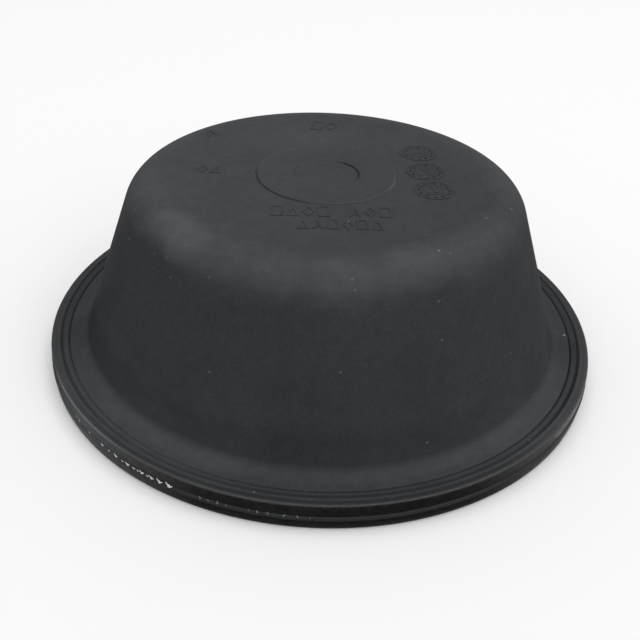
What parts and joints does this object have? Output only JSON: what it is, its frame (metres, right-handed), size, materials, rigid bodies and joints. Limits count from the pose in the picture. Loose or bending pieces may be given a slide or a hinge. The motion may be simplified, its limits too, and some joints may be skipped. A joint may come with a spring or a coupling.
{
  "type": "cup diaphragm seal",
  "caption": "Moulded black rubber cup diaphragm with a flat crown, a tapered wall and a thick grooved rim for clamping between the halves of an air actuator.",
  "frame": {"origin": "on the axis, in the plane of the rim's flat underside", "axes": "+Z along the axis of revolution, from the rim's underside towards the crown; X and Y lie in the rim's plane"},
  "size_m": [0.153, 0.153, 0.0503],
  "materials": {
    "moulded_rubber": "matt, as moulded"
  },
  "bodies": {
    "root": {"diaphragm": "moulded_rubber"}
  },
  "joints": []
}
